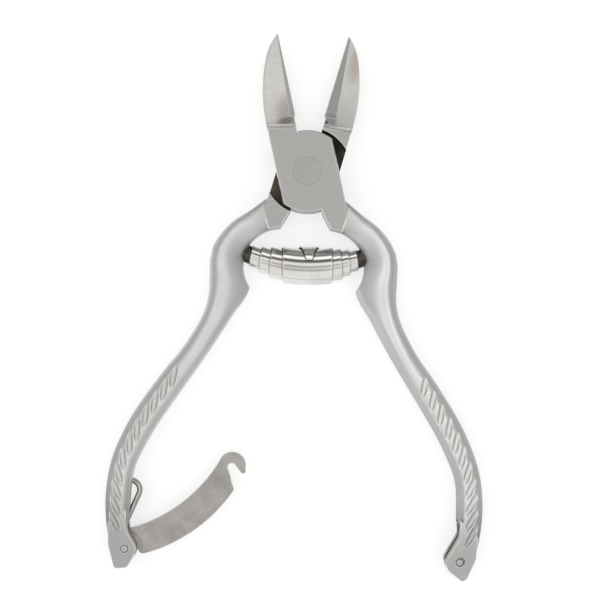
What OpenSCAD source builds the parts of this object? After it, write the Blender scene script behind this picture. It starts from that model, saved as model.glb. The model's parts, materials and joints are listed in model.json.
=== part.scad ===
// Toenail nipper: two lapped levers, a barrel spring between the handles and a swinging handle latch.
// Lying flat: z = 0 is the table, +Z is the pivot axis and +Y points along the jaws.
// One lever is drawn closed, with its cutting edge on x = 0, then turned to its open rest place.

/* [Joint] */
// Thickness of the joint across both lapped plates
joint_t = 10; // [9.9:0.1:12]
// Width of each lapped plate
plate_w = 15.2; // [13:0.1:18]
// Radius of the rounded plate ends
plate_r = 10.1; // [9.5:0.1:12]
// Gap between a plate end and the shoulder it turns past
recess_gap = 0.6; // [0.3:0.05:1.2]
// Width of the broken edges round the lapped plates and their recesses
edge_break = 0.25; // [0.1:0.05:0.4]
// Gap between the two lapped plates
lap_gap = 0.1; // [0.04:0.01:0.2]
// Angle between the two cutting edges at rest
open_angle = 28.8; // [24:0.1:30]
// Diameter of the rivet's shank
rivet_d = 5; // [4:0.1:6]
// Diameter of the rivet's countersunk heads
rivet_head_d = 7; // [6.4:0.1:8]
// Depth of the rivet's countersunk heads
rivet_head_t = 1; // [0.6:0.1:1.5]
// Running clearance round the rivet in the lever that turns on it
rivet_clearance = 0.04; // [0.02:0.01:0.1]

/* [Jaws] */
// Length of a jaw from the pivot to its tip
jaw_len = 35.6; // [33:0.1:38]
// Distance of the edge's lower end from the pivot
edge_start = 14.5; // [13:0.1:17]
// Gap between each edge and the centre line when closed
edge_gap = 0.03; // [0.02:0.01:0.1]
// Set-back of the jaw below its cutting edge
edge_relief = 0.45; // [0.3:0.05:0.8]
// Distance from the pivot where the jaw's back starts to curve
back_start = 13.5; // [12:0.1:15]
// Radius of the jaw's back
back_r = 42; // [38:0.5:46]
// Radius of the jaw's nose
nose_r = 15.4; // [12:0.1:18]
// Thickness of the jaw at the foot of the hollow grind
jaw_root_t = 7.6; // [7:0.1:8.2]
// Thickness of the jaw at its tip
jaw_tip_t = 1.4; // [1:0.1:2.4]
// Distance from the pivot to the foot of the hollow grind
grind_start = 11.5; // [11.4:0.1:12.4]
// Place on the foot where that distance is taken, out from the centre line
grind_x = 3.6; // [3:0.1:4.2]
// Slant of the foot on the jaw's lap side, which falls towards the cutting edge
near_slant = 11; // [6:1:12]
// Slant of the foot on the jaw's other side
far_slant = 5; // [0:1:8]
// Fillet radius at the foot of the hollow grind
grind_fillet = 1.6; // [1.3:0.1:2.2]
// Width of the bevel on the jaw's lap side at the edge's lower end
near_bevel = 1.35; // [1:0.05:1.7]
// Width of the bevel on the jaw's other side at the edge's lower end
far_bevel = 2.95; // [2.5:0.05:3.3]

/* [Handles] */
// Inner side of the handle's root, from the centre line
root_x = 1.4; // [0.8:0.1:2]
// Length of the root's flat face below the pivot
face_len = 15.4; // [14:0.1:16]
// Reach of the root's flat face from the centre line
face_w = 8.1; // [7.7:0.1:9]
// Set-out of the flat face's inner corner
face_lean = 1.3; // [0.5:0.1:2]
// Handle section in the root: across, down, width, thickness
root_sect = [4.2, 9.5, 6, 10.8]; // [1:0.1:130]
// Handle section at the throat: across, down, width, thickness
throat_sect = [8.7, 16, 7, 9.5]; // [1:0.1:130]
// Handle section at the neck: across, down, width, thickness
neck_sect = [11.3, 19.3, 7.5, 9.3]; // [1:0.1:130]
// Handle section at the shoulder: across, down, width, thickness
shoulder_sect = [13, 24.7, 8.6, 8.7]; // [1:0.1:130]
// Handle section at the heel: across, down, width, thickness
heel_sect = [10.6, 31.6, 10.7, 8.1]; // [1:0.1:130]
// Handle section at the waist: across, down, width, thickness
waist_sect = [11, 38.5, 7.5, 7.6]; // [1:0.1:130]
// Handle section above the grip: across, down, width, thickness
grip_sect = [13.8, 50.1, 6.2, 7.3]; // [1:0.1:130]
// Handle section at the straight middle: across, down, width, thickness
middle_sect = [17.4, 59.9, 6.8, 7.2]; // [1:0.1:130]
// Handle section at the swell: across, down, width, thickness
swell_sect = [21.9, 74.5, 6.9, 7.1]; // [1:0.1:130]
// Handle section at the bow: across, down, width, thickness
bow_sect = [23, 82.4, 6.5, 7]; // [1:0.1:130]
// Handle section at the ankle: outwards and up from the fork pin, width, thickness
ankle_sect = [4.5, 8.5, 6.3, 6.8]; // [1:0.1:10]
// Handle section above the fork: outwards and up from the fork pin, width, thickness
tail_sect = [3.4, 4.3, 5.2, 6.6]; // [1:0.1:10]
// Handle section inside the fork: outwards and up from the fork pin, width, thickness
end_sect = [1.7, 0.2, 4.6, 6.2]; // [0:0.1:10]
// Width of the slanted draft face on the handle's inner side
side_draft = 1.8; // [1:0.1:2.2]
// How much the heel thickens towards its outer side, as a share of its thickness
crown_lean = 0.45; // [0.2:0.05:0.5]
// Spacing of the handle's sections
ring_step = 1.9; // [1.6:0.1:3]

/* [Grip grooves] */
// Number of grooves on each face of a handle
groove_count = 11; // [6:1:12]
// Distance along the handle to the middle of the first groove
groove_from = 52.4; // [50:0.1:55]
// Spacing of the grooves along the handle
groove_pitch = 3.95; // [3.5:0.05:4.2]
// Set-out of the grooves from the middle of the handle
groove_out = 0.6; // [0.2:0.1:1]
// Radius of a groove's floor
groove_r = 1.1; // [0.8:0.05:1.3]
// Depth of a groove on the handle's ridge
groove_depth = 0.5; // [0.3:0.02:0.6]
// Length of a groove on the lap side
groove_len = 10.5; // [4:0.1:12]
// Length of a groove on the other side
under_len = 9; // [4:0.1:10]
// Slant of the first groove on the lap side against the handle
groove_slant = 45; // [35:1:50]
// Slant of the last groove on the lap side, and of all grooves on the other side
groove_slant_end = 28; // [20:1:40]

/* [Forks] */
// Distance of each fork pin from the centre line when closed
pin_x = 16.6; // [16:0.1:17.2]
// Distance of each fork pin below the pivot when closed
pin_y = 102.6; // [102:0.1:103.4]
// Diameter of the fork pins
pin_d = 1.75; // [1.6:0.05:2]
// Thickness over the fork's ground faces
fork_t = 6.4; // [5.6:0.1:7]
// Width of the sawn slot in each fork
slot_w = 2.4; // [2.2:0.05:2.8]
// Radius of the saw that cuts the slots
saw_r = 24; // [20:0.5:30]

/* [Spring seats] */
// Distance of the seat's scoop below the pivot when closed, to its middle
scoop_y = 24.2; // [23.8:0.1:24.6]
// Set-over of the scoop's middle past the centre line when closed
scoop_over = 0.3; // [0:0.1:0.6]
// Radius of the seat's scoop
scoop_r = 9.4; // [9.2:0.1:9.6]
// How much wider the scoop is at the faces
scoop_flare = 0.5; // [0.3:0.05:0.6]
// Drop of the flared rims below the scoop's middle
flare_drop = 0.45; // [0.3:0.05:0.5]
// Distance of the spring's seat below the pivot when closed
seat_y = 23.7; // [23.3:0.1:24.1]
// Slope of the seat's axis when closed
seat_slope = 6.5; // [4:0.5:9]
// Length of a spring peg outside the handle
peg_len = 4; // [2.5:0.1:5]
// Depth that a spring peg is set into the handle
peg_depth = 3; // [2:0.1:4]

/* [Barrel spring] */
// Outside radius of the spring's strip at its outer end
spring_r = 5.15; // [4.9:0.05:5.4]
// Thickness of the spring's strip
strip_t = 0.2; // [0.15:0.01:0.25]
// Gap between two layers of the strip
layer_gap = 0.42; // [0.41:0.01:0.5]
// Turns of the strip
spring_turns = 4.2; // [3.8:0.1:4.6]
// Width of each leg that the strip splits into
leg_w = 6; // [5:0.1:7]
// Half width of the tab at the strip's outer end
tab_half = 0.75; // [0.5:0.05:1]
// Width that the strip gains on each side as its tab flares out
flare_w = 3.9; // [3:0.1:4.5]
// Turns over which the tab flares out
flare_turns = 0.5; // [0.4:0.05:0.7]
// Set-over of the tab towards the catch handle
tab_shift = 1.35; // [0:0.05:1.5]
// Gap between the spring's ends and their seats
spring_gap = 1; // [0.35:0.05:1.2]
// Gap between a peg and the innermost turn
peg_gap = 0.15; // [0.1:0.01:0.3]

/* [Latch] */
// Angle of the latch bar to the X axis at rest
latch_angle = 39.3; // [10:0.1:45]
// Thickness of the latch bar
latch_t = 2; // [1.6:0.05:2.1]
// Thickness of the bar's tang in the fork
tang_t = 1.8; // [1.4:0.05:2]
// Radius of the tang
tang_r = 3; // [2.6:0.1:3.2]
// Width of the latch bar
bar_w = 6.9; // [6:0.1:7.4]
// Rise of the bar's hollow upper edge over the line between its pins
bar_rise = 0.4; // [0:0.1:0.8]
// Radius of the bar's lower edge
bar_outer_r = 39.4; // [36:0.2:44]
// Outside radius of the hook
hook_r = 3.35; // [3:0.05:3.6]
// Drop of the hook's rounded tip below its slot's centre
hook_drop = 2.4; // [1.8:0.05:2.5]
// Clearance between the hook's slot and the catch pin
hook_clearance = 0.2; // [0.15:0.05:0.3]
// Lean of the hook slot's inner wall
hook_lean = 19; // [10:1:24]
// Running clearance of the latch bar on its pin
latch_clearance = 0.05; // [0.02:0.01:0.1]

/* [Latch spring] */
// Diameter of the spring's wire
wire_d = 1.4; // [1:0.05:1.6]
// Height of the wire's root above the latch pin
wire_rise = 16.4; // [16:0.1:17]
// Distance of the wire's root from the latch pin, outwards
wire_root_x = 2.7; // [2.4:0.1:3]
// Bend radius of the wire at mid thickness
wire_bend = 2.4; // [2:0.1:2.8]
// Heading of the wire where it leaves the handle
wire_heading = 188; // [184:0.5:192]
// Length of the wire's straight leg
wire_leg = 8; // [6:0.1:8.4]
// Length of the wire set into the handle
wire_set = 3; // [2:0.1:4]

/* [Hidden] */
$fn = 64;
over = 1;
mid_z = joint_t / 2;
half_open = open_angle / 2;
recess_r = plate_r + recess_gap;
lap_z = mid_z + lap_gap / 2;

// Jaw back: two arcs that meet at the angle nose_a, seen from the back arc's centre
back_c = [back_r - plate_w / 2, back_start];
to_tip = [-edge_gap, jaw_len] - back_c;
arc_step = back_r - nose_r;
nose_cos = (to_tip * to_tip + arc_step * arc_step - nose_r * nose_r) / (2 * arc_step * norm(to_tip));
nose_a = atan2(to_tip[1], -to_tip[0]) - acos(nose_cos);
nose_c = back_c + arc_step * [-cos(nose_a), sin(nose_a)];
nose_y = back_c[1] + back_r * sin(nose_a);

// Hollow grind of the jaw's faces
grind_depth = (joint_t - jaw_root_t) / 2;
grind_foot = sqrt(grind_fillet * grind_fillet - pow(grind_fillet - grind_depth, 2));
grind_wall = grind_fillet - grind_foot;
jaw_taper = atan((jaw_root_t - jaw_tip_t) / 2 / (jaw_len - grind_start));
edge_t = jaw_root_t - 2 * (edge_start - grind_start) * tan(jaw_taper);
near_angle = atan(2 * near_bevel / edge_t);
far_angle = atan(2 * far_bevel / edge_t);

// Handle sections as [across, up, width, thickness, squareness, draft, crown], from the root into the fork
sides = 32;
function section(s, square, draft, crown = 0) =
    [s[0], -s[1], s[2], s[3], square, draft * side_draft, crown * crown_lean];
function pin_section(s, square, draft) = section([pin_x + s[0], pin_y - s[1], s[2], s[3]], square, draft);
sections = [
    section(root_sect, 8, 0), section(throat_sect, 4, 0, 0.2),
    section(neck_sect, 2.7, 0.1, 0.7), section(shoulder_sect, 2.3, 0.4, 1),
    section(heel_sect, 2.1, 0.8, 1), section(waist_sect, 2.4, 1, 0.4),
    section(grip_sect, 2.4, 1), section(middle_sect, 2.3, 1), section(swell_sect, 2.3, 1),
    section(bow_sect, 2.3, 1), pin_section(ankle_sect, 2.6, 0.8), pin_section(tail_sect, 3, 0.3),
    pin_section(end_sect, 3.4, 0)
];

// Smooth curve through sections: slopes per millimetre, then a cubic between neighbours
function flat(p) = [p[0], p[1]];
function span(list, i) = norm(flat(list[i + 1]) - flat(list[i]));
function rise(list, i) = (list[i + 1] - list[i]) / span(list, i);
function slope(list, i) =
    i == 0 ? rise(list, 0) :
    i == len(list) - 1 ? rise(list, i - 1) :
    (rise(list, i - 1) * span(list, i) + rise(list, i) * span(list, i - 1)) /
    (span(list, i - 1) + span(list, i));
function on_curve(list, i, u) =
    list[i] * (1 + 2 * u) * (1 - u) * (1 - u) + list[i + 1] * u * u * (3 - 2 * u) +
    slope(list, i) * span(list, i) * u * (1 - u) * (1 - u) -
    slope(list, i + 1) * span(list, i) * u * u * (1 - u);
function along_curve(list, i, u) =
    let (v = (list[i + 1] - list[i]) * 6 * u * (1 - u) +
             slope(list, i) * span(list, i) * (1 - u) * (1 - 3 * u) +
             slope(list, i + 1) * span(list, i) * u * (3 * u - 2))
    flat(v) / norm(flat(v));
function at_length(list, d, i = 0) =
    d <= span(list, i) || i == len(list) - 2 ?
    [i, d / span(list, i)] :
    at_length(list, d - span(list, i), i + 1);

// One ring of a handle: a superellipse whose inner side is cut back by a slanted draft face,
// and which thickens towards its outer side
function bulge(c, square) = sign(c) * pow(abs(c), 2 / square);
function ring(s, dir) = [
    for (k = [0 : sides - 1])
        let (
            a = 360 * (k + 0.5) / sides,
            level = bulge(sin(a), s[4]) * s[3] / 2,
            cut = s[5] * max(0, (level / s[3] + 0.25) / 0.75),
            out = max(bulge(cos(a), s[4]) * s[2] / 2, cut - s[2] / 2),
            up = level * (1 + s[6] * 2 * out / s[2])
        )
        [s[0] - dir[1] * out, s[1] + dir[0] * out, mid_z + up]
];

// How far a groove's cutter tapers on past the groove's end, as a share of its taper
run_out = 0.5;

// Fork pins, slots and ends, in the lever's closed place
pin = [pin_x, -pin_y];
latch_saw = pin + [-19.2, 10.2];
catch_saw = pin + [-17.4, -5.2];
slot_top = 4.5;
// Rounded cheeks of the forks, as circles about the pin: across, up, radius
latch_cheek = [
    [-0.6, -0.9, 2.1], [-0.6, 0.5, 2.15], [-1.1, -3.5, 1], [0.6, -4.2, 1],
    [2.2, 0.6, 2.1], [4.8, 4.8, 0.9], [2.8, 5.7, 0.8]
];
catch_cheek = [
    [-1, -0.4, 2.35], [-1, 0.3, 2.4], [-0.1, -3.8, 0.9], [0.4, -3.6, 0.9],
    [2.2, 0.8, 2.1], [4.8, 4.8, 0.9], [2.6, 6.5, 0.8]
];
// Webs that fill the hollow between a cheek and its handle, as points about the pin
latch_web = [[0.4, 4.4], [1.4, 6.3], [2.5, 9.4], [3.3, 7], [4, 4.4]];
catch_web = [[-0.2, 4.5], [1.2, 6.3], [2, 8.3], [2.5, 10.2], [3.3, 8], [4.5, 4.5]];
pin_rim = 0.2;
latch_place = [
    -pin_x * cos(half_open) - pin_y * sin(half_open),
    pin_x * sin(half_open) - pin_y * cos(half_open)
];

// Spring seats on the scoop's floor, and their place and slope at rest
seat_x = sqrt(scoop_r * scoop_r - pow(scoop_y - seat_y, 2)) - scoop_over;
seat = [seat_x, -seat_y];
seat_rest = [
    seat_x * cos(half_open) + seat_y * sin(half_open),
    seat_x * sin(half_open) - seat_y * cos(half_open)
];
end_slope = seat_slope + half_open;

// Barrel spring: bent along an arc whose ends stand square to the seats
spring_bend = seat_rest[0] / sin(end_slope);
spring_half = spring_bend * end_slope * PI / 180 - spring_gap;
spring_low = seat_rest[1] - spring_bend * (1 - cos(end_slope));
layer_pitch = strip_t + layer_gap;
tab_angle = 18;
spring_steps = 24;
strip_count = round(spring_turns * spring_steps);
split = 0.15;
function flared(t) = tab_half + flare_w * (1 - exp(-t / flare_turns));
function half_width(t) = flared(t) + (spring_half - flared(spring_turns)) * t / spring_turns;
function middle(t) = tab_shift * pow(max(0, 1 - t / spring_turns), 1.5);
function leg_start(t) = max(split, half_width(t) - leg_w);
function spring_point(t, across, r) =
    let (bend = across / spring_bend * 180 / PI, turn = tab_angle + 360 * t, out = r * sin(turn))
    [(spring_bend - out) * sin(bend),
     spring_low + spring_bend - (spring_bend - out) * cos(bend),
     mid_z + r * cos(turn)];
function strip_r(t) = spring_r - layer_pitch * t;
function strip_row(t, r) =
    let (e = half_width(t), s = leg_start(t), m = (e + s) / 2)
    [for (across = [-e, -m, -s, s, m, e]) spring_point(t, middle(t) + across, r)];
bore_r = strip_r(spring_turns) - strip_t;
peg_d = 2 * (bore_r - peg_gap);
split_at = ceil(spring_steps * 1.25);
least_gap = min([
    for (j = [0 : strip_count - spring_steps], share = [-1, -0.5, 0, 0.5, 1])
        let (t = j / spring_steps, across = middle(t) + share * half_width(t))
        norm(spring_point(t, across, strip_r(t) - strip_t) - spring_point(t + 1, across, strip_r(t + 1)))
]);
echo(str("Least gap of the barrel spring to itself: ", least_gap, " mm"));

// Latch bar, drawn along +X from its pin to the hook's slot
hook_x = 2 * pin_x;
hook_slot_r = pin_d / 2 + hook_clearance;
bar_mid = hook_x / 2 + 1;
bar_x = 2.2;
hook_c = [hook_x + 0.4, 0.3];
hook_reach = hook_c[0] - bar_mid;
edge_rise = bar_rise - hook_c[1];
blend_r = hook_r - 0.04;
bar_inner_r =
    (hook_reach * hook_reach + edge_rise * edge_rise - blend_r * blend_r) / (2 * (blend_r - edge_rise));
bar_end = hook_c[0] - blend_r * hook_reach / (bar_inner_r + blend_r);
tip_room = hook_c[0] + sqrt(hook_r * hook_r - pow(hook_drop + hook_c[1], 2)) - hook_x - hook_slot_r;
tip_c = [hook_x + hook_slot_r + tip_room / 2, -hook_drop];

module upper_place() {
    rotate([0, 0, half_open]) children();
}

module lower_place() {
    rotate([0, 0, -half_open]) translate([0, 0, joint_t]) rotate([0, 180, 0]) children();
}

module jaw_outline() {
    translate([-plate_w / 2, 0]) square([plate_w / 2 - edge_relief, edge_start]);
    intersection() {
        translate([-plate_w / 2, back_start]) square([plate_w / 2 - edge_gap, nose_y - back_start]);
        translate(back_c) circle(r = back_r, $fn = 180);
        translate([-plate_w, edge_start]) square([plate_w, jaw_len]);
    }
    intersection() {
        translate([-plate_w / 2, back_start])
            square([plate_w / 2 - edge_relief, edge_start - back_start + over]);
        translate(back_c) circle(r = back_r, $fn = 180);
    }
    intersection() {
        translate([-plate_w / 2, nose_y]) square([plate_w / 2 - edge_gap, jaw_len - nose_y]);
        translate(nose_c) circle(r = nose_r, $fn = 180);
    }
}

// Straight grinding stone with a rounded lower edge, lying on the plane z = 0 and reaching out along +Y
module grind_stone() {
    rotate([90, 0, 90]) linear_extrude(2 * plate_w, center = true) {
        translate([grind_fillet, 0]) square([jaw_len, joint_t]);
        translate([0, grind_fillet]) square([jaw_len, joint_t]);
        translate([grind_fillet, grind_fillet]) circle(r = grind_fillet);
    }
}

module grind_face(slant) {
    translate([-grind_x, grind_start, jaw_root_t / 2]) rotate([-jaw_taper, 0, -slant])
        translate([0, -grind_wall, 0]) grind_stone();
}

module bevel(angle) {
    translate([-edge_gap, edge_start, 0]) rotate([0, -angle, 0]) cube([joint_t, jaw_len, 2 * joint_t]);
}

module jaw() {
    difference() {
        translate([0, 0, -over]) linear_extrude(joint_t + 2 * over) jaw_outline();
        translate([0, 0, mid_z]) {
            grind_face(near_slant);
            bevel(near_angle);
            mirror([0, 0, 1]) {
                grind_face(far_slant);
                bevel(far_angle);
            }
        }
    }
}

module handle() {
    last = len(sections) - 2;
    places = concat(
        [for (i = [0 : last], n = ceil(span(sections, i) / ring_step), j = [0 : n - 1]) [i, j / n]],
        [[last, 1]]
    );
    rings = [for (p = places) ring(on_curve(sections, p[0], p[1]), along_curve(sections, p[0], p[1]))];
    count = len(rings);
    walls = [
        for (i = [0 : count - 2], k = [0 : sides - 1])
            let (a = i * sides + k, b = i * sides + (k + 1) % sides, c = a + sides, d = b + sides)
            each [[a, c, d], [a, d, b]]
    ];
    caps = [
        [for (k = [0 : sides - 1]) k],
        [for (k = [sides - 1 : -1 : 0]) (count - 1) * sides + k]
    ];
    polyhedron(points = [for (r = rings) each r], faces = concat(walls, caps), convexity = 6);
}

// A round cutter laid across the handle's ridge, tapered so that the groove runs out at both ends
module groove(floor_z, length, slant) {
    level = length / 6;
    reach = length / 2 + run_out * (length / 2 - level);
    end_r = groove_r - (1 + run_out) * groove_depth;
    translate([0, 0, floor_z + groove_r]) rotate([0, 0, -slant]) rotate([0, 90, 0])
        rotate_extrude($fn = 48)
            polygon([
                [0, -reach], [end_r, -reach], [groove_r, -level],
                [groove_r, level], [end_r, reach], [0, reach]
            ]);
}

module grooves() {
    for (k = [0 : groove_count - 1]) {
        place = at_length(sections, groove_from + k * groove_pitch);
        s = on_curve(sections, place[0], place[1]);
        dir = along_curve(sections, place[0], place[1]);
        lap_slant = groove_slant + (groove_slant_end - groove_slant) * k / (groove_count - 1);
        place_z = s[3] / 2 - groove_depth;
        translate([s[0] - dir[1] * groove_out, s[1] + dir[0] * groove_out, mid_z])
            rotate([0, 0, atan2(dir[1], dir[0])]) {
                groove(place_z, groove_len, lap_slant);
                mirror([0, 0, 1]) groove(place_z, under_len, groove_slant_end);
            }
    }
}

module cheeks(circles, web) {
    translate([pin_x, -pin_y, mid_z - fork_t / 2]) linear_extrude(fork_t) {
        hull() for (c = circles) translate([c[0], c[1]]) circle(r = c[2], $fn = 32);
        polygon(web);
    }
}

module fork_slot(saw) {
    translate([0, 0, mid_z - slot_w / 2]) linear_extrude(slot_w) {
        translate(saw) circle(r = saw_r, $fn = 180);
        translate(pin + [-joint_t, slot_top - 2 * joint_t]) square([2 * joint_t, 2 * joint_t]);
    }
}

module pin_bore() {
    translate(concat(pin, 0)) {
        cylinder(d = pin_d, h = 3 * joint_t, center = true);
        for (side = [0, 1])
            mirror([0, 0, side])
                translate([0, 0, fork_t / 2 - pin_rim])
                    cylinder(d1 = pin_d, d2 = pin_d + 4 * pin_rim, h = 2 * pin_rim);
    }
}

// Scoop with straight walls, and rims that flare out to both faces below its middle
module scoop() {
    translate([-scoop_over, -scoop_y]) {
        cylinder(r = scoop_r, h = 2 * joint_t, center = true, $fn = 96);
        for (side = [0, 1])
            mirror([0, 0, side]) translate([0, -flare_drop])
                cylinder(r1 = scoop_r - scoop_flare, r2 = scoop_r + 3 * scoop_flare, h = joint_t, $fn = 96);
    }
}

module along_seat() {
    translate(concat(seat, mid_z)) rotate([0, 0, seat_slope]) rotate([0, 90, 0]) children();
}

module rivet_profile(gap) {
    half = joint_t / 2;
    polygon([
        [0, -half], [rivet_head_d / 2 + gap, -half], [rivet_d / 2 + gap, rivet_head_t - half],
        [rivet_d / 2 + gap, half - rivet_head_t], [rivet_head_d / 2 + gap, half], [0, half]
    ]);
}

module rivet(gap) {
    translate([0, 0, mid_z]) rotate_extrude() rivet_profile(gap);
}

// The flat blocks that join the lapped plate to its own jaw and handle
module own_blocks() {
    translate([-plate_w / 2, 0]) square([plate_w / 2 - edge_relief, recess_r]);
    polygon([
        [root_x, 0], [plate_w / 2, 0], [plate_w / 2, -plate_r], [face_w, -0.75 * face_len],
        [0.9 * face_w, -0.83 * face_len], [0.63 * face_w, -1.08 * face_len],
        [root_x + face_lean, -1.02 * face_len], [root_x, -recess_r]
    ]);
}

// Round recess for the other lever's plate, with a broken edge where it opens
module recess() {
    rotate_extrude($fn = 128)
        polygon([
            [0, -over], [recess_r + edge_break + over, -over], [recess_r, edge_break],
            [recess_r, lap_z], [0, lap_z]
        ]);
}

// Lapped plate with round ends, straight sides and a broken edge
module plate() {
    half = plate_w / 2;
    intersection() {
        rotate_extrude($fn = 128)
            polygon([
                [0, lap_z], [plate_r, lap_z], [plate_r, joint_t - edge_break],
                [plate_r - edge_break, joint_t], [0, joint_t]
            ]);
        translate([0, plate_w, 0]) rotate([90, 0, 0]) linear_extrude(2 * plate_w)
            polygon([
                [-half, 0], [half, 0], [half, joint_t - edge_break], [half - edge_break, joint_t],
                [edge_break - half, joint_t], [-half, joint_t - edge_break]
            ]);
    }
}

module lever_body() {
    intersection() {
        union() {
            difference() {
                union() {
                    jaw();
                    handle();
                    translate([0, 0, -over]) linear_extrude(joint_t + 2 * over) own_blocks();
                }
                recess();
            }
            plate();
        }
        translate([-2 * plate_w, -2 * pin_y, 0]) cube([6 * plate_w, 3 * pin_y, joint_t]);
    }
}

module lever(circles, web, saw, rivet_gap) {
    difference() {
        union() {
            lever_body();
            cheeks(circles, web);
        }
        rivet(rivet_gap);
        translate([0, 0, mid_z]) {
            scoop();
            pin_bore();
        }
        along_seat() cylinder(d = peg_d, h = 2 * peg_depth, center = true);
        grooves();
        fork_slot(saw);
    }
}

module upper_lever() {
    color("gainsboro") upper_place() lever(catch_cheek, catch_web, catch_saw, rivet_clearance);
}

module lower_lever() {
    color("gainsboro") lower_place()
        difference() {
            lever(latch_cheek, latch_web, latch_saw, 0);
            wire_root();
        }
}

module pivot_rivet() {
    color("silver") rivet(0);
}

module spring_peg() {
    along_seat() {
        translate([0, 0, -peg_len + peg_gap]) cylinder(d = peg_d, h = peg_len - peg_gap + peg_depth);
        translate([0, 0, -peg_len]) cylinder(d1 = peg_d - 2 * peg_gap, d2 = peg_d, h = peg_gap);
    }
}

module left_spring_peg() {
    color("gray") lower_place() spring_peg();
}

module right_spring_peg() {
    color("gray") upper_place() spring_peg();
}

// One strip, wound inwards from its tab; past the first turn it splits into two legs
module barrel_spring() {
    row = 6;
    turns = [for (j = [0 : strip_count]) j / spring_steps];
    outer_row = [for (t = turns) strip_row(t, strip_r(t))];
    inner_row = [for (t = turns) strip_row(t, strip_r(t) - strip_t)];
    inner = row * (strip_count + 1);
    function cells(j) = j < split_at ? [0 : row - 2] : [0, 1, 3, 4];
    function quad(a, b, c, d) = [[a, b, c], [a, c, d]];
    function at(j, k) = j * row + k;
    function low_wall(j, k) = quad(at(j, k), inner + at(j, k), inner + at(j + 1, k), at(j + 1, k));
    function high_wall(j, k) = quad(at(j, k), at(j + 1, k), inner + at(j + 1, k), inner + at(j, k));
    function start_cap(j, k) = quad(at(j, k), at(j, k + 1), inner + at(j, k + 1), inner + at(j, k));
    function end_cap(j, k) = quad(at(j, k), inner + at(j, k), inner + at(j, k + 1), at(j, k + 1));
    skins = [
        for (j = [0 : strip_count - 1], k = cells(j))
            let (a = j * row + k, b = a + row)
            each concat(quad(a, b, b + 1, a + 1), quad(inner + a, inner + a + 1, inner + b + 1, inner + b))
    ];
    rims = [for (j = [0 : strip_count - 1]) each concat(low_wall(j, 0), high_wall(j, row - 1))];
    slit = [for (j = [split_at : strip_count - 1]) each concat(high_wall(j, 2), low_wall(j, 3))];
    caps = concat(
        [for (k = [0 : row - 2]) each start_cap(0, k)],
        end_cap(split_at, 2),
        [for (k = [0, 1, 3, 4]) each end_cap(strip_count, k)]
    );
    color("whitesmoke")
        polyhedron(
            points = concat([for (r = outer_row) each r], [for (r = inner_row) each r]),
            faces = concat(skins, rims, slit, caps),
            convexity = 12
        );
}

module bar_strip() {
    difference() {
        intersection() {
            translate([bar_mid, bar_outer_r - bar_w]) circle(r = bar_outer_r, $fn = 180);
            translate([bar_x, -hook_x / 2]) square([bar_end - bar_x, hook_x]);
        }
        translate([bar_mid, bar_inner_r + bar_rise]) circle(r = bar_inner_r, $fn = 180);
        translate([hook_x - hook_slot_r, hook_slot_r / 2]) rotate(-hook_lean)
            translate([0, -hook_x]) square([hook_x, hook_x]);
        translate([bar_x, -bar_w / 2]) rotate(-135) square(bar_w);
    }
}

module hook_slot() {
    translate([hook_x, 0]) circle(r = hook_slot_r);
    translate([hook_x - hook_slot_r, -hook_r - over]) square([2 * hook_slot_r, hook_r + over]);
    translate([hook_x - hook_slot_r, 0]) rotate(-hook_lean)
        translate([0, -2 * hook_r]) square([hook_slot_r, 2 * hook_r]);
}

module latch_outline() {
    difference() {
        union() {
            bar_strip();
            translate(hook_c) circle(r = hook_r);
            circle(r = tang_r);
        }
        hook_slot();
        translate([hook_x, -hook_drop - 2 * hook_r]) square([2 * hook_r, 2 * hook_r]);
    }
    translate(tip_c) circle(d = tip_room);
}

module latch_bar() {
    spot_r = tang_r + 1.2;
    color("darkgray") translate(concat(latch_place, mid_z)) rotate([0, 0, latch_angle])
        difference() {
            translate([0, 0, -latch_t / 2]) linear_extrude(latch_t) latch_outline();
            cylinder(d = pin_d + 2 * latch_clearance, h = 2 * latch_t, center = true);
            for (side = [0, 1])
                mirror([0, 0, side])
                    translate([0, 0, tang_t / 2]) cylinder(r = spot_r, h = latch_t);
        }
}

module fork_pin() {
    translate(concat(pin, mid_z)) {
        cylinder(d = pin_d, h = fork_t - pin_rim, center = true);
    }
}

module latch_pin() {
    color("silver") lower_place() fork_pin();
}

module catch_pin() {
    color("silver") upper_place() fork_pin();
}

// The wire's path turns its own frame at each bend, starting where it leaves the handle
module wire_frame() {
    translate([pin_x + wire_root_x, wire_rise - pin_y, mid_z]) rotate([0, 0, wire_heading]) children();
}

module straight_wire(from, length) {
    rotate([-90, 0, -90]) translate([0, 0, from]) linear_extrude(length) circle(d = wire_d, $fn = 32);
}

module wire_root() {
    wire_frame() straight_wire(-wire_set, wire_set);
}

module latch_wire_spring() {
    color("darkgray") lower_place() {
        wire_root();
        wire_frame() {
            translate([0, wire_bend, 0]) rotate([0, 0, -90])
                rotate_extrude(angle = 90) translate([wire_bend, 0]) circle(d = wire_d, $fn = 32);
            translate([wire_bend, wire_bend, 0]) rotate([0, 0, 90]) straight_wire(0, wire_leg);
        }
    }
}

upper_lever();
lower_lever();
pivot_rivet();
barrel_spring();
left_spring_peg();
right_spring_peg();
latch_bar();
latch_pin();
catch_pin();
latch_wire_spring();
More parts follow.
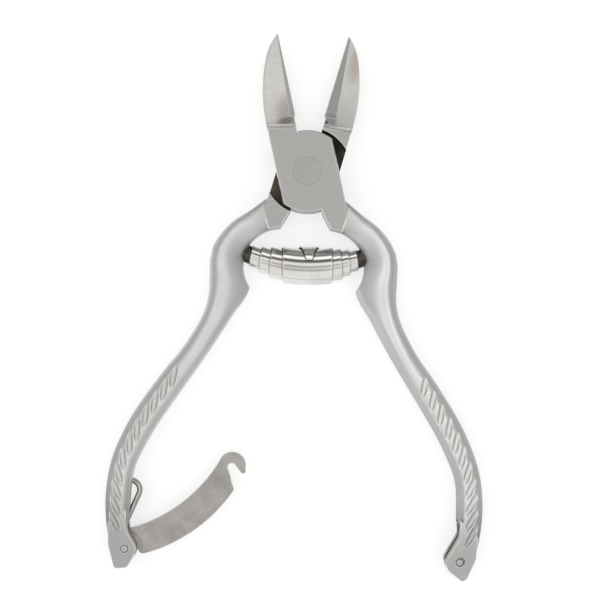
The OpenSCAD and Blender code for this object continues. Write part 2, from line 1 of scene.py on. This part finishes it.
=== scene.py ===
import json
import math
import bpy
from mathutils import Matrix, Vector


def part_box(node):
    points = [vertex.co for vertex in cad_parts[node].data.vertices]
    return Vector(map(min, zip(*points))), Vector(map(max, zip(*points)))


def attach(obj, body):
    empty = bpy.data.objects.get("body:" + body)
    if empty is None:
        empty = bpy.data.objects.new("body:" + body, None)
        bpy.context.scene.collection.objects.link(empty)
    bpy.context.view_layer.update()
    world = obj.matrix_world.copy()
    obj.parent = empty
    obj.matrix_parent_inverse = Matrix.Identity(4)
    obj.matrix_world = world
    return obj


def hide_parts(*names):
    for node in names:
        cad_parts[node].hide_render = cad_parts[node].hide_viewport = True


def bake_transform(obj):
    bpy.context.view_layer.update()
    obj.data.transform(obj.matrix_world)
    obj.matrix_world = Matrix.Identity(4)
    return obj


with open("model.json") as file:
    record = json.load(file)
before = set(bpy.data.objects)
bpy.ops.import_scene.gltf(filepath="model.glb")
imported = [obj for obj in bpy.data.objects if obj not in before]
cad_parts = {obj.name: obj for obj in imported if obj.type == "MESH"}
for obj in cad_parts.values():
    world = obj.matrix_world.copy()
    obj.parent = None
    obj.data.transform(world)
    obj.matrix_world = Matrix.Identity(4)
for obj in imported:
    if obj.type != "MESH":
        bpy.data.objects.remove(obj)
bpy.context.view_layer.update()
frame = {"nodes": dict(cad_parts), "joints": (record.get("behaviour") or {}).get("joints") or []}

from types import SimpleNamespace

import bmesh
import bpy
from mathutils import Vector

# Lengths are in metres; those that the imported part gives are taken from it
MM = 0.001
JOINTS = {joint["name"]: joint for joint in frame["joints"]}
HALF_OPEN = math.radians(JOINTS["jaw_pivot"]["range_deg"][1]) / 2
JOINT_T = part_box("pivot_rivet")[1].z
MID_Z = JOINT_T / 2

# Barrel spring: one strip, wound inwards from its tapered tab and bent between the two seats
SEAT_X = 9.0867 * MM
SEAT_Y = 23.7 * MM
SEAT_SLOPE = math.radians(6.5)
SPRING_R = 5.15 * MM
STRIP_T = 0.2 * MM
LAYER_PITCH = 0.62 * MM
SPRING_TURNS = 4.2
LEG_W = 6.0 * MM
TAB_HALF = 0.75 * MM
TAB_ANGLE = math.radians(18)
TAB_SHIFT = 1.35 * MM
FLARE_W = 3.9 * MM
FLARE_TURNS = 0.5
SPRING_GAP = 1.0 * MM
LEG_SPLIT = 0.15 * MM
SPLIT_TURN = 1.25
ROWS_PER_TURN = 64
LEG_COLUMNS = 8

# The spring's arc in the open pose, which meets both seats square
END_SLOPE = SEAT_SLOPE + HALF_OPEN
SEAT_REST = Vector((SEAT_X * math.cos(HALF_OPEN) + SEAT_Y * math.sin(HALF_OPEN),
                    SEAT_X * math.sin(HALF_OPEN) - SEAT_Y * math.cos(HALF_OPEN), MID_Z))
SPRING_BEND = SEAT_REST.x / math.sin(END_SLOPE)
SPRING_LOW = SEAT_REST.y - SPRING_BEND * (1 - math.cos(END_SLOPE))
SPRING_HALF = SPRING_BEND * END_SLOPE - SPRING_GAP

# Sharp edges are shaded as if rounded: all of them a little, the fork's cheek and the jaw's ledge more.
# A lever's edges keep EDGE_KEPT of their plain direction, so that they catch the bright strips overhead
EDGE_R = 0.4 * MM
WIDE_EDGE_R = 1.3 * MM
EDGE_KEPT = 0.65
EDGE_SAMPLES = 6

# Edges show by how far they turn, from 1 on a face: as painted highlights, as the upper jaw's rim, or as
# the painted highlight on the cheek's rounding
HIGHLIGHT_TURN = (0.99, 0.9)
RIM_TURN = (0.995, 0.98)
CHEEK_TURN = (0.995, 0.97)

# Hollows are found within a reach: for painted shade in the levers' hollows and for painted shadows between
# the spring's wound layers
HOLLOW_SHADE_REACH = 1.6 * MM
STEP_SHADOW_REACH = 0.8 * MM
HOLLOW_SAMPLES = 8

# A solid's points are merged if they are nearer than WELD_GAP, and its edges are smooth up to SMOOTH_ANGLE
WELD_GAP = 0.5e-6
SMOOTH_ANGLE = math.radians(32)

# Forms of a lever in its own frame, in millimetres: the jaw points along +Y and the fork along -Y.
# Each pair is a fade, from where a mask is 0 to where it is 1. A SIDE is measured along X, a RIM from the
# pivot, a HALF from the form's middle, FACE_SKIN down from the joint's faces, LAP_TOP up from their middle,
# HEEL_SHADE and FACE_END along HEEL_AIM, and the rest along Y
HEEL_AIM = (0.87, -0.4926)
HEEL_SHADE = (19.0, 12.5)
FACE_END = (12.6, 12.3)
FACE_SKIN = (0.06, 0.02)
RIVET_RIM = (4.2, 3.8)
LAP_RIM = (10.8, 10.75)
LAP_TOP = (0.12, 0.1)
JAW_START = (9.8, 10.4)
JAW_LIGHT_FADE = (13.0, 25.0)
BEVEL_START = (12.8, 15.2)
BEVEL_SHADE_FADE = (17.0, 27.0)
LEDGE_HALF = (0.65, 0.35)
FACET_SIDE = (-3.9, -2.6)
FACET_ROOT = (12.4, 13.0)
FACET_TIP = (15.4, 14.3)
RIM_SIDE = (-2.0, -2.4)
FORK_SHADE = (-86.0, -101.0)
CHEEK_SIDE = (18.8, 18.0)
CHEEK_TOP = (-94.0, -95.5)
CHEEK_END = (-101.8, -100.4)
SLOT_HALF = (1.32, 1.24)
SLOT_SIDE = (19.0, 18.0)
SLOT_TOP = (-92.0, -93.5)

# The bevel is where the jaw's surface faces inwards, the ledge at the jaw's root follows a sloping line,
# and the rim on the upper jaw's back has a width
BEVEL_TURN = (0.2, 0.3)
LEDGE_SLOPE = 0.22
LEDGE_Y = 11.3
RIM_W = 0.9 * MM

# Sizes of the noise in the finishes, per metre
BLAST_SCALE = 5200.0
CLOUD_SCALE = 130.0
GRAIN_SCALE = 420.0
GRAIN_STRETCH = (1, 14, 14)

# Floor: it also glows in the steel's mirror image, a painted reflection that is brightest in a pool between
# the handles, on the left side
FLOOR_SIDE = 6.0
FLOOR_GREY = (0.5, 0.5, 0.5, 1.0)
FLOOR_GLOW = 0.66
POOL_Y = 0.05
POOL_FADE = (0.07, 0.03)
POOL_SIDE = (0.04, -0.04)
MIRROR_BASE = 0.3
MIRROR_POOL = 0.15
MIRROR_SIDE = 0.58

# Strips of the tent, seen from the part: degrees from overhead, and brightness there
RIGHT_STRIPS = ((0, 0.6), (6, 0.7), (10, 2.1), (24, 2.1), (36, 0.6), (60, 0.5), (90, 0.5))
LEFT_STRIPS = ((0, 0.6), (6, 0.7), (10, 2.0), (24, 2.0), (36, 0.66), (60, 0.58), (90, 0.54))
JAW_STRIPS = ((0, 0.35), (4, 0.35), (6, 0.9), (21, 0.9), (25, 0.16), (43, 0.16),
              (47, 1.2), (63, 1.2), (67, 0.22), (90, 0.22))
HANDLE_STRIPS = ((0, 0.35), (6, 0.35), (9, 0.6), (23, 0.6), (25, 0.35), (29, 0.35),
                 (33, 0.86), (90, 0.86))
CLOTH_TINT = (1.0, 0.99, 0.97)

# Camera, fitted to the photograph; the lens and the sensor are in millimetres
LENS = 84.0
SENSOR = 36.0
CAMERA_PLACE = (-0.000594, -0.03185, 0.355)
CAMERA_TURN = math.radians(2.35)
CAMERA_NEAR = 0.01


class Wire:
    """A number or a vector that changes over a surface. Arithmetic on numbers adds Math nodes."""

    def __init__(self, nodes, socket):
        self.nodes = nodes
        self.socket = socket

    def math(self, operation, *values):
        return self.nodes.node("ShaderNodeMath", {"operation": operation}, dict(enumerate(values)))

    def __add__(self, other):
        return self.math("ADD", self, other)

    __radd__ = __add__

    def __sub__(self, other):
        return self.math("SUBTRACT", self, other)

    def __rsub__(self, other):
        return self.math("SUBTRACT", other, self)

    def __mul__(self, other):
        return self.math("MULTIPLY", self, other)

    __rmul__ = __mul__

    def __truediv__(self, other):
        return self.math("DIVIDE", self, other)

    def __pow__(self, other):
        return self.math("POWER", self, other)

    def __abs__(self):
        return self.math("ABSOLUTE", self)

    def above(self, low, high):
        """0 below low, 1 above high and smooth between them; with low over high it is 1 below."""
        settings = {"interpolation_type": "SMOOTHSTEP", "clamp": True}
        sockets = {"Value": self, "From Min": low, "From Max": high}
        return self.nodes.node("ShaderNodeMapRange", settings, sockets)

    def parts(self):
        """The X, Y and Z of a vector."""
        return [self.nodes.node("ShaderNodeSeparateXYZ", {}, {0: self}, out) for out in range(3)]


class Nodes:
    """A node tree that is filled by one method."""

    def __init__(self, tree):
        self.tree = tree
        tree.nodes.clear()

    def node(self, kind, settings, sockets, out=0):
        """Adds a node, sets it, feeds its sockets and gives back one of its outputs."""
        made = self.tree.nodes.new(kind)
        for name, value in settings.items():
            if name == "stops":
                self.set_stops(made.color_ramp, value)
            else:
                setattr(made, name, value)
        for name, value in sockets.items():
            if isinstance(value, Wire):
                self.tree.links.new(value.socket, made.inputs[name])
            else:
                made.inputs[name].default_value = value
        return Wire(self, made.outputs[out]) if made.outputs else made

    def set_stops(self, ramp, stops):
        while len(ramp.elements) < len(stops):
            ramp.elements.new(1.0)
        for element, (place, colour) in zip(ramp.elements, stops):
            element.position = place
            element.color = (*colour, 1.0)

    def mix(self, factor, first, second):
        """Mixes two colours, which are sockets 6 and 7 of the node, as its third output."""
        sockets = {"Factor": factor, 6: first, 7: second}
        return self.node("ShaderNodeMix", {"data_type": "RGBA"}, sockets, 2)


class Finish(Nodes):
    """A metal finish: a Principled shader whose colour, roughness and normal follow the surface."""

    def __init__(self, name):
        self.material = bpy.data.materials.new(name)
        self.material.use_nodes = True
        super().__init__(self.material.node_tree)

    def place(self):
        return self.node("ShaderNodeTexCoord", {}, {}, "Object")

    def facing(self):
        """The X, Y and Z of the direction that the surface faces, in the part's frame."""
        return self.node("ShaderNodeTexCoord", {}, {}, "Normal").parts()

    def mapped(self, vector, location=(0, 0, 0), rotation=(0, 0, 0), scale=(1, 1, 1)):
        sockets = {"Vector": vector, "Location": location, "Rotation": rotation, "Scale": scale}
        return self.node("ShaderNodeMapping", {}, sockets)

    def noise(self, vector, scale, detail=3.0, roughness=0.55):
        sockets = {"Vector": vector, "Scale": scale, "Detail": detail, "Roughness": roughness}
        return self.node("ShaderNodeTexNoise", {"noise_dimensions": "3D"}, sockets)

    def hollows(self, distance):
        """1 in the open and towards 0 in grooves and corners."""
        settings = {"only_local": True, "samples": HOLLOW_SAMPLES}
        return self.node("ShaderNodeAmbientOcclusion", settings, {"Distance": distance}, "AO")

    def rounded(self, radius):
        return self.node("ShaderNodeBevel", {"samples": EDGE_SAMPLES}, {"Radius": radius})

    def plain(self):
        return self.node("ShaderNodeNewGeometry", {}, {}, "Normal")

    def edge_turn(self, radius):
        """1 on faces and less on the rounding of an edge, by how far the rounding turns the normal."""
        sockets = {0: self.rounded(radius), 1: self.plain()}
        return self.node("ShaderNodeVectorMath", {"operation": "DOT_PRODUCT"}, sockets, "Value")

    def edge_highlights(self):
        return self.edge_turn(EDGE_R).above(*HIGHLIGHT_TURN)

    def mix_normals(self, factor, first, second):
        """Mixes two vectors, which are sockets 4 and 5 of the node, as its second output."""
        sockets = {"Factor": factor, 4: first, 5: second}
        return self.node("ShaderNodeMix", {"data_type": "VECTOR"}, sockets, 1)

    def relief(self, height, strength, distance, sharp=0.0, soft=0.0):
        """Fine relief over edges that look rounded: not at all where sharp is 1, widely where soft is."""
        normal = self.mix_normals(sharp, self.rounded(EDGE_R), self.plain())
        normal = self.mix_normals(soft, normal, self.rounded(WIDE_EDGE_R))
        sockets = {"Strength": strength, "Distance": distance, "Height": height, "Normal": normal}
        return self.node("ShaderNodeBump", {}, sockets)

    def metal(self, colour, roughness, normal):
        sockets = {"Base Color": colour, "Roughness": roughness, "Metallic": 1.0, "Normal": normal}
        shader = self.node("ShaderNodeBsdfPrincipled", {}, sockets)
        self.node("ShaderNodeOutputMaterial", {}, {"Surface": shader})
        return self.material


def grey(level, warmth=0.0):
    """A steel colour: level is its brightness, and warmth leans it to brown."""
    return (level * (1 + warmth), level, level * (1 - warmth), 1.0)


# Colours for painted highlights and painted shadows
HIGHLIGHT_WHITE = grey(0.95)
SHADOW_BLACK = grey(0.03)

# The levers are one forging; their two looks are lighter and darker copies of its steel, painted for how
# light falls on each. A dark patch or a painted shadow is an oval with a centre, a reach and the squared
# distance, from 1 at its rim inwards, at which it is full
UPPER_LOOK = SimpleNamespace(
    turned_over=False,
    handle=0.7,
    dullness=0.4,
    jaw_root=0.76,
    jaw_tip=0.93,
    bevel_root=0.73,
    bevel_tip=0.58,
    rim=0.6,
    hollow_shade=0.25,
    patch_colour=grey(0.2, 0.16),
    dark_patch=((-1.0, 13.8), (5.0, 7.5), 0.05),
    patch_depth=0.45,
    dark_streak=((-2.6, 13.5), (2.9, 1.1), 0.05),
    gap=((16.77, -102.51), (1.18, 1.18), 0.85),
)
LOWER_LOOK = SimpleNamespace(
    turned_over=True,
    handle=0.67,
    dullness=0.46,
    jaw_root=0.58,
    jaw_tip=0.78,
    bevel_root=0.72,
    bevel_tip=0.58,
    rim=0.34,
    hollow_shade=0.5,
    patch_colour=grey(0.54, 0.09),
    dark_patch=((-4.0, 30.0), (2.6, 7.0), 0.05),
    patch_depth=0.9,
    gap=((-0.75, 12.9), (0.75, 0.5), 0.05),
)


class LeverFinish(Finish):
    """A finish with masks for a lever's forms, found in the lever's own frame, in millimetres."""

    def __init__(self, name, turned_over):
        super().__init__(name)
        flip = -1 if turned_over else 1
        lift = JOINT_T if turned_over else 0
        self.own = self.mapped(self.place(), (0, 0, lift), (0, 0, -HALF_OPEN), (flip, 1, flip))
        x, y, z = [axis / MM for axis in self.own.parts()]
        height = z - MID_Z / MM
        from_pivot = (x * x + y * y) ** 0.5
        along_heel = x * HEEL_AIM[0] + y * HEEL_AIM[1]
        inwards = self.facing()[0] * flip

        self.x = x
        self.y = y
        self.heel = along_heel.above(*HEEL_SHADE)
        self.face = (MID_Z / MM - abs(height)).above(*FACE_SKIN) * along_heel.above(*FACE_END)
        self.rivet_hole = from_pivot.above(*RIVET_RIM)
        self.lap = from_pivot.above(*LAP_RIM) * height.above(*LAP_TOP)
        self.jaw = y.above(*JAW_START) * (1 - self.face)
        self.bevel = self.jaw * inwards.above(*BEVEL_TURN) * y.above(*BEVEL_START)
        self.ledge = self.jaw * abs(y + x * LEDGE_SLOPE - LEDGE_Y).above(*LEDGE_HALF)
        self.cheek = x.above(*CHEEK_SIDE) * y.above(*CHEEK_TOP) * y.above(*CHEEK_END)
        self.slot = abs(height).above(*SLOT_HALF) * y.above(*SLOT_TOP) * x.above(*SLOT_SIDE)

    def spot(self, centre, reach, full):
        """An oval that fades in from its rim."""
        across = (self.x - centre[0]) / reach[0]
        along = (self.y - centre[1]) / reach[1]
        return (across * across + along * along).above(1.0, full)


def jaw_colour(steel, look, grain, colour):
    """The ground jaw: hollow and bevel, a darker rim or facet, darker patches and a painted highlight on
    the ledge at its root.
    """
    x, y, jaw = steel.x, steel.y, steel.jaw
    # Painted light and shade: the jaw lighter towards its tip, its bevel darker towards its tip
    jaw_light = steel.mix(y.above(*JAW_LIGHT_FADE), grey(look.jaw_root, 0.018), grey(look.jaw_tip, 0.022))
    bevel_shade = steel.mix(y.above(*BEVEL_SHADE_FADE), grey(look.bevel_root), grey(look.bevel_tip))
    jaw_light = steel.mix(steel.bevel, jaw_light, bevel_shade)
    # Darker patches on the jaw, and on the upper jaw a darker streak across it near its root
    dark_patch = steel.spot(*look.dark_patch) * look.patch_depth
    if look.turned_over:
        rim = x.above(*FACET_SIDE) * y.above(*FACET_ROOT) * y.above(*FACET_TIP)
    else:
        rim = x.above(*RIM_SIDE) * steel.edge_turn(RIM_W).above(*RIM_TURN)
        dark_patch = dark_patch + steel.spot(*look.dark_streak) * grain.above(0.3, 0.55) * 0.5
    colour = steel.mix(jaw * grain.above(1.2, 0.3), colour, jaw_light)
    colour = steel.mix(jaw * rim, colour, grey(look.rim))
    colour = steel.mix(jaw * dark_patch * (1 - steel.bevel), colour, look.patch_colour)
    # Painted highlight on the ledge at the jaw's root
    return steel.mix(steel.ledge, colour, HIGHLIGHT_WHITE)


def lever_steel(name, look):
    """Forged steel with a blasted handle, a hollow-ground jaw, ground joint faces and a dark lap."""
    steel = LeverFinish(name, look.turned_over)
    blast = steel.noise(steel.own, BLAST_SCALE, 2.0)
    cloud = steel.noise(steel.own, CLOUD_SCALE, 4.0)
    grain = steel.noise(steel.mapped(steel.own, scale=GRAIN_STRETCH), GRAIN_SCALE)

    # The handle with painted shade, darker towards the fork and at the heel, then the joint's faces and the
    # jaw
    darker, lighter = grey(look.handle - 0.015, 0.006), grey(look.handle + 0.015, -0.004)
    colour = steel.mix(cloud.above(0.35, 0.7), darker, lighter)
    colour = steel.mix(steel.y.above(*FORK_SHADE), colour, grey(0.42))
    colour = steel.mix(steel.heel * 0.6, colour, grey(0.45))
    colour = steel.mix(steel.face, colour, grey(0.39, 0.01))
    colour = jaw_colour(steel, look, grain, colour)

    # Dark places: painted shadow in the ring round the catch pin or in the chip at the jaw's root, painted
    # shade in hollows, and the lap
    colour = steel.mix(steel.spot(*look.gap), colour, SHADOW_BLACK)
    # Painted shade in hollows and grooves
    hollow_shade = steel.hollows(HOLLOW_SHADE_REACH).above(0.97, 0.8) * look.hollow_shade
    colour = steel.mix(hollow_shade, colour, grey(0.42, 0.08))
    lap_skin = steel.mix(cloud.above(0.4, 0.65), grey(0.042, 0.1), grey(0.11, 0.2))
    colour = steel.mix(steel.lap, colour, lap_skin)

    # Painted highlight on the fork's rounded cheek and painted shade in its slot, then painted highlights
    # on edges, but not in the lap or round the rivet
    cheek_highlight = steel.cheek * steel.edge_turn(WIDE_EDGE_R).above(*CHEEK_TURN)
    colour = steel.mix(cheek_highlight, colour, grey(0.72, 0.05))
    # Painted shade: the slot is painted black
    colour = steel.mix(steel.slot, colour, SHADOW_BLACK)
    edge_highlight = steel.edge_highlights() * (1 - steel.rivet_hole) * (1 - steel.lap)
    colour = steel.mix(edge_highlight, colour, HIGHLIGHT_WHITE)

    roughness = look.dullness - 0.06 * steel.face - 0.08 * steel.jaw + 0.14 * steel.lap
    roughness = roughness + (blast - 0.5) * 0.12
    height = blast * (1 - steel.jaw) + grain * steel.jaw * 1.6
    sharp = EDGE_KEPT + (1 - EDGE_KEPT) * steel.rivet_hole
    normal = steel.relief(height, 0.16, 0.05 * MM, sharp, steel.cheek + steel.ledge)
    return steel.metal(colour, roughness, normal)


def rivet_steel():
    """The rivet, ground flush with the joint face."""
    steel = Finish("rivet_steel")
    place = steel.place()
    cloud = steel.noise(place, 260.0, 4.0)
    blast = steel.noise(place, BLAST_SCALE, 2.0)
    colour = steel.mix(cloud.above(0.35, 0.7), grey(0.37, 0.02), grey(0.385, 0.012))
    return steel.metal(colour, 0.34 + (blast - 0.5) * 0.12, steel.relief(blast, 0.14, 0.05 * MM, 1.0))


def spring_strip_steel():
    """Bright rolled strip: nearly a mirror, with faint roll lines along it and painted shadows between its
    wound layers.
    """
    steel = Finish("spring_strip_steel")
    place = steel.place()
    lines = steel.noise(steel.mapped(place, scale=(0.04, 1, 1)), 2600.0)
    cloud = steel.noise(place, 240.0)
    colour = steel.mix(cloud.above(0.3, 0.7), grey(0.80, 0.02), grey(0.87, 0.012))
    # Painted shadow in the hollows between the wound layers
    step_shadows = steel.hollows(STEP_SHADOW_REACH).above(0.9, 0.55) * 0.85
    colour = steel.mix(step_shadows, colour, grey(0.05, 0.1))
    roughness = 0.07 + 0.09 * lines.above(0.35, 0.8)
    return steel.metal(colour, roughness, steel.relief(lines, 0.05, 0.01 * MM))


def peg_steel():
    """Turned pegs, painted near black for the shade inside the spring's ends."""
    steel = Finish("peg_steel")
    rings = steel.noise(steel.mapped(steel.place(), scale=(12, 1, 1)), 500.0, 2.0)
    colour = steel.mix(rings.above(0.3, 0.7), grey(0.02, 0.1), grey(0.14, 0.06))
    return steel.metal(colour, 0.32, steel.relief(rings, 0.2, 0.03 * MM))


def latch_steel():
    """Dull rolled sheet with a mottled skin and a few pits; its edges and cut sides get a painted
    highlight.
    """
    steel = Finish("latch_steel")
    place = steel.place()
    cloud = steel.noise(place, 210.0, 5.0, 0.65)
    fine = steel.noise(place, 2600.0)
    pits = steel.noise(place, 900.0, 2.0).above(0.7, 0.76)
    colour = steel.mix(cloud.above(0.3, 0.72), grey(0.31, 0.04), grey(0.42, 0.035))
    colour = steel.mix(pits * 0.5, colour, grey(0.2, 0.06))
    # Painted highlight: the sides and the edges are painted bright
    side_highlight = abs(steel.facing()[2]).above(0.5, 0.2)
    colour = steel.mix(steel.edge_highlights() * (1 - side_highlight) * 0.7 + side_highlight, colour, HIGHLIGHT_WHITE)
    roughness = 0.4 + 0.12 * (cloud - 0.5) + 0.08 * (fine - 0.5)
    return steel.metal(colour, roughness, steel.relief(fine * 0.6 - pits * 0.8, 0.2, 0.05 * MM))


def pin_steel():
    """Fork pins, ground flush with the forks."""
    steel = Finish("pin_steel")
    fine = steel.noise(steel.place(), 3200.0)
    colour = steel.mix(fine.above(0.3, 0.7), grey(0.42, 0.012), grey(0.47, 0.006))
    return steel.metal(colour, 0.38, steel.relief(fine, 0.12, 0.04 * MM))


def spring_wire_steel():
    """Drawn wire with a fine grain."""
    steel = Finish("spring_wire_steel")
    place = steel.place()
    fine = steel.noise(place, 2400.0)
    cloud = steel.noise(place, 500.0)
    colour = steel.mix(cloud.above(0.3, 0.7), grey(0.36, 0.06), grey(0.46, 0.04))
    return steel.metal(colour, 0.28 + 0.1 * fine, steel.relief(fine, 0.12, 0.03 * MM))


def new_piece(name, maker):
    """An object from a bmesh, shaded smooth except over its sharp edges."""
    mesh = bpy.data.meshes.new(name)
    maker.to_mesh(mesh)
    maker.free()
    stored_normals = mesh.attributes.get("custom_normal")
    if stored_normals:
        mesh.attributes.remove(stored_normals)
    mesh.polygons.foreach_set("use_smooth", [True] * len(mesh.polygons))
    mesh.set_sharp_from_angle(angle=SMOOTH_ANGLE)
    piece = bpy.data.objects.new(name, mesh)
    bpy.context.scene.collection.objects.link(piece)
    return piece


def solid_piece(node, name, material, body):
    """A copy of a node's solid with its points merged, which stands for the node and rides on its body."""
    maker = bmesh.new()
    maker.from_mesh(frame["nodes"][node].data)
    bmesh.ops.remove_doubles(maker, verts=maker.verts, dist=WELD_GAP)
    piece = new_piece(name, maker)
    piece.data.materials.clear()
    piece.data.materials.append(material)
    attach(piece, body)
    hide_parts(node)


def solid_pieces():
    """Every node but the spring."""
    upper = lever_steel("upper_lever_steel", UPPER_LOOK)
    solid_piece("upper_lever", "upper_forging", upper, "upper_lever")
    lower = lever_steel("lower_lever_steel", LOWER_LOOK)
    solid_piece("lower_lever", "lower_forging", lower, "lower_lever")
    solid_piece("pivot_rivet", "flush_rivet", rivet_steel(), "lower_lever")
    pegs = peg_steel()
    solid_piece("left_spring_peg", "left_peg", pegs, "lower_lever")
    solid_piece("right_spring_peg", "right_peg", pegs, "upper_lever")
    pins = pin_steel()
    solid_piece("latch_pin", "latch_fork_pin", pins, "lower_lever")
    solid_piece("catch_pin", "catch_fork_pin", pins, "upper_lever")
    solid_piece("latch_bar", "swinging_latch", latch_steel(), "latch")
    solid_piece("latch_wire_spring", "bent_wire", spring_wire_steel(), "lower_lever")


def flared(turn):
    """Half the strip's width, without its steady widening: the tab flares out quickly."""
    return TAB_HALF + FLARE_W * (1 - math.exp(-turn / FLARE_TURNS))


def half_width(turn):
    return flared(turn) + (SPRING_HALF - flared(SPRING_TURNS)) * turn / SPRING_TURNS


def middle(turn):
    """The strip was cut a little askew, so its tab lies beside the spring's middle."""
    return TAB_SHIFT * max(0.0, 1 - turn / SPRING_TURNS) ** 1.5


def on_strip(turn, across):
    """The place of a point of the strip's middle layer, wound and then bent along the spring's arc."""
    radius = SPRING_R - LAYER_PITCH * turn - STRIP_T / 2
    angle = TAB_ANGLE + math.tau * turn
    out = SPRING_BEND - radius * math.sin(angle)
    bend = across / SPRING_BEND
    return Vector((out * math.sin(bend), SPRING_LOW + SPRING_BEND - out * math.cos(bend),
                   MID_Z + radius * math.cos(angle)))


def barrel_spring():
    """A flat strip of small cells is slit into two legs, wound up and given its thickness."""
    rows = round(SPRING_TURNS * ROWS_PER_TURN)
    columns = 2 * LEG_COLUMNS + 1
    maker = bmesh.new()
    bmesh.ops.create_grid(maker, x_segments=columns, y_segments=rows, size=0.5)
    slit = [cell for cell in maker.faces
            if abs(cell.calc_center_median().x) * columns < 0.5
            and (cell.calc_center_median().y + 0.5) * SPRING_TURNS > SPLIT_TURN]
    bmesh.ops.delete(maker, geom=slit, context="FACES")
    for vert in maker.verts:
        turn = (vert.co.y + 0.5) * SPRING_TURNS
        step = abs(vert.co.x) * columns - 0.5
        outer = half_width(turn)
        inner = max(LEG_SPLIT, outer - LEG_W)
        across = inner + (outer - inner) * step / LEG_COLUMNS
        vert.co = on_strip(turn, middle(turn) + math.copysign(across, vert.co.x))
    bmesh.ops.recalc_face_normals(maker, faces=maker.faces)
    bmesh.ops.solidify(maker, geom=maker.faces, thickness=STRIP_T)
    bmesh.ops.recalc_face_normals(maker, faces=maker.faces)
    piece = new_piece("wound_strip", maker)
    piece.data.materials.append(spring_strip_steel())
    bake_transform(piece)
    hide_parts("barrel_spring")


def floor():
    """A white table that keeps the soft shadow of the part."""
    maker = bmesh.new()
    bmesh.ops.create_grid(maker, x_segments=1, y_segments=1, size=FLOOR_SIDE / 2)
    table = new_piece("floor", maker)
    material = bpy.data.materials.new("white_table")
    material.use_nodes = True
    white = Nodes(material.node_tree)
    rays = ("Is Camera Ray", "Is Glossy Ray", "Is Transmission Ray")
    camera_ray, mirror_ray, clear_ray = [white.node("ShaderNodeLightPath", {}, {}, ray) for ray in rays]
    x, y = white.node("ShaderNodeTexCoord", {}, {}, "Object").parts()[:2]
    south = y + POOL_Y
    # Painted reflection: for mirrored rays the floor glows brighter in a pool and on the left side
    pool = ((x * x + south * south) ** 0.5).above(*POOL_FADE)
    mirrored = MIRROR_BASE + pool * (MIRROR_POOL + MIRROR_SIDE * x.above(*POOL_SIDE))
    seen = camera_ray + clear_ray + mirror_ray * mirrored
    paper = white.node("ShaderNodeBsdfDiffuse", {}, {"Color": FLOOR_GREY})
    glow = white.node("ShaderNodeEmission", {}, {"Color": (1, 1, 1, 1), "Strength": seen * FLOOR_GLOW})
    both = white.node("ShaderNodeAddShader", {}, {0: paper, 1: glow})
    white.node("ShaderNodeOutputMaterial", {}, {"Surface": both})
    table.data.materials.append(material)


def studio():
    """A tent of white cloth, dim overhead, with its own bright strips on each of its four sides."""
    world = bpy.data.worlds.new("studio")
    bpy.context.scene.world = world
    world.use_nodes = True
    sky = Nodes(world.node_tree)
    x, y, z = sky.node("ShaderNodeTexCoord", {}, {}, "Generated").parts()
    flat = (x * x + y * y + 1e-6) ** 0.5
    tilt = sky.node("ShaderNodeMath", {"operation": "ARCTAN2"}, {0: flat, 1: z}) / math.radians(90)

    def side(towards, strips):
        """One side's light, which fades out towards the sides next to it."""
        share = sky.node("ShaderNodeMath", {"operation": "MAXIMUM"}, {0: towards / flat, 1: 0.0})
        stops = [(angle / 90, [level * tint for tint in CLOTH_TINT]) for angle, level in strips]
        cloth = sky.node("ShaderNodeValToRGB", {"stops": stops}, {"Fac": tilt})
        return sky.node("ShaderNodeVectorMath", {"operation": "SCALE"}, {0: cloth, "Scale": share * share})

    light = side(x, RIGHT_STRIPS)
    for towards, strips in ((0 - x, LEFT_STRIPS), (y, JAW_STRIPS), (0 - y, HANDLE_STRIPS)):
        sockets = {0: light, 1: side(towards, strips)}
        light = sky.node("ShaderNodeVectorMath", {"operation": "ADD"}, sockets)
    camera_ray = sky.node("ShaderNodeLightPath", {}, {}, "Is Camera Ray")
    shown = sky.mix(camera_ray, light, (1, 1, 1, 1))
    backdrop = sky.node("ShaderNodeBackground", {}, {"Color": shown, "Strength": 1.0})
    sky.node("ShaderNodeOutputWorld", {}, {"Surface": backdrop})


def camera():
    """Straight down over the part, as the photograph was taken."""
    data = bpy.data.cameras.new("camera")
    data.lens = LENS
    data.sensor_width = SENSOR
    data.clip_start = CAMERA_NEAR
    view = bpy.data.objects.new("camera", data)
    view.location = CAMERA_PLACE
    view.rotation_euler = (0.0, 0.0, CAMERA_TURN)
    bpy.context.scene.collection.objects.link(view)
    bpy.context.scene.camera = view


camera()
studio()
floor()
solid_pieces()
barrel_spring()
bpy.context.scene.view_settings.view_transform = "Standard"
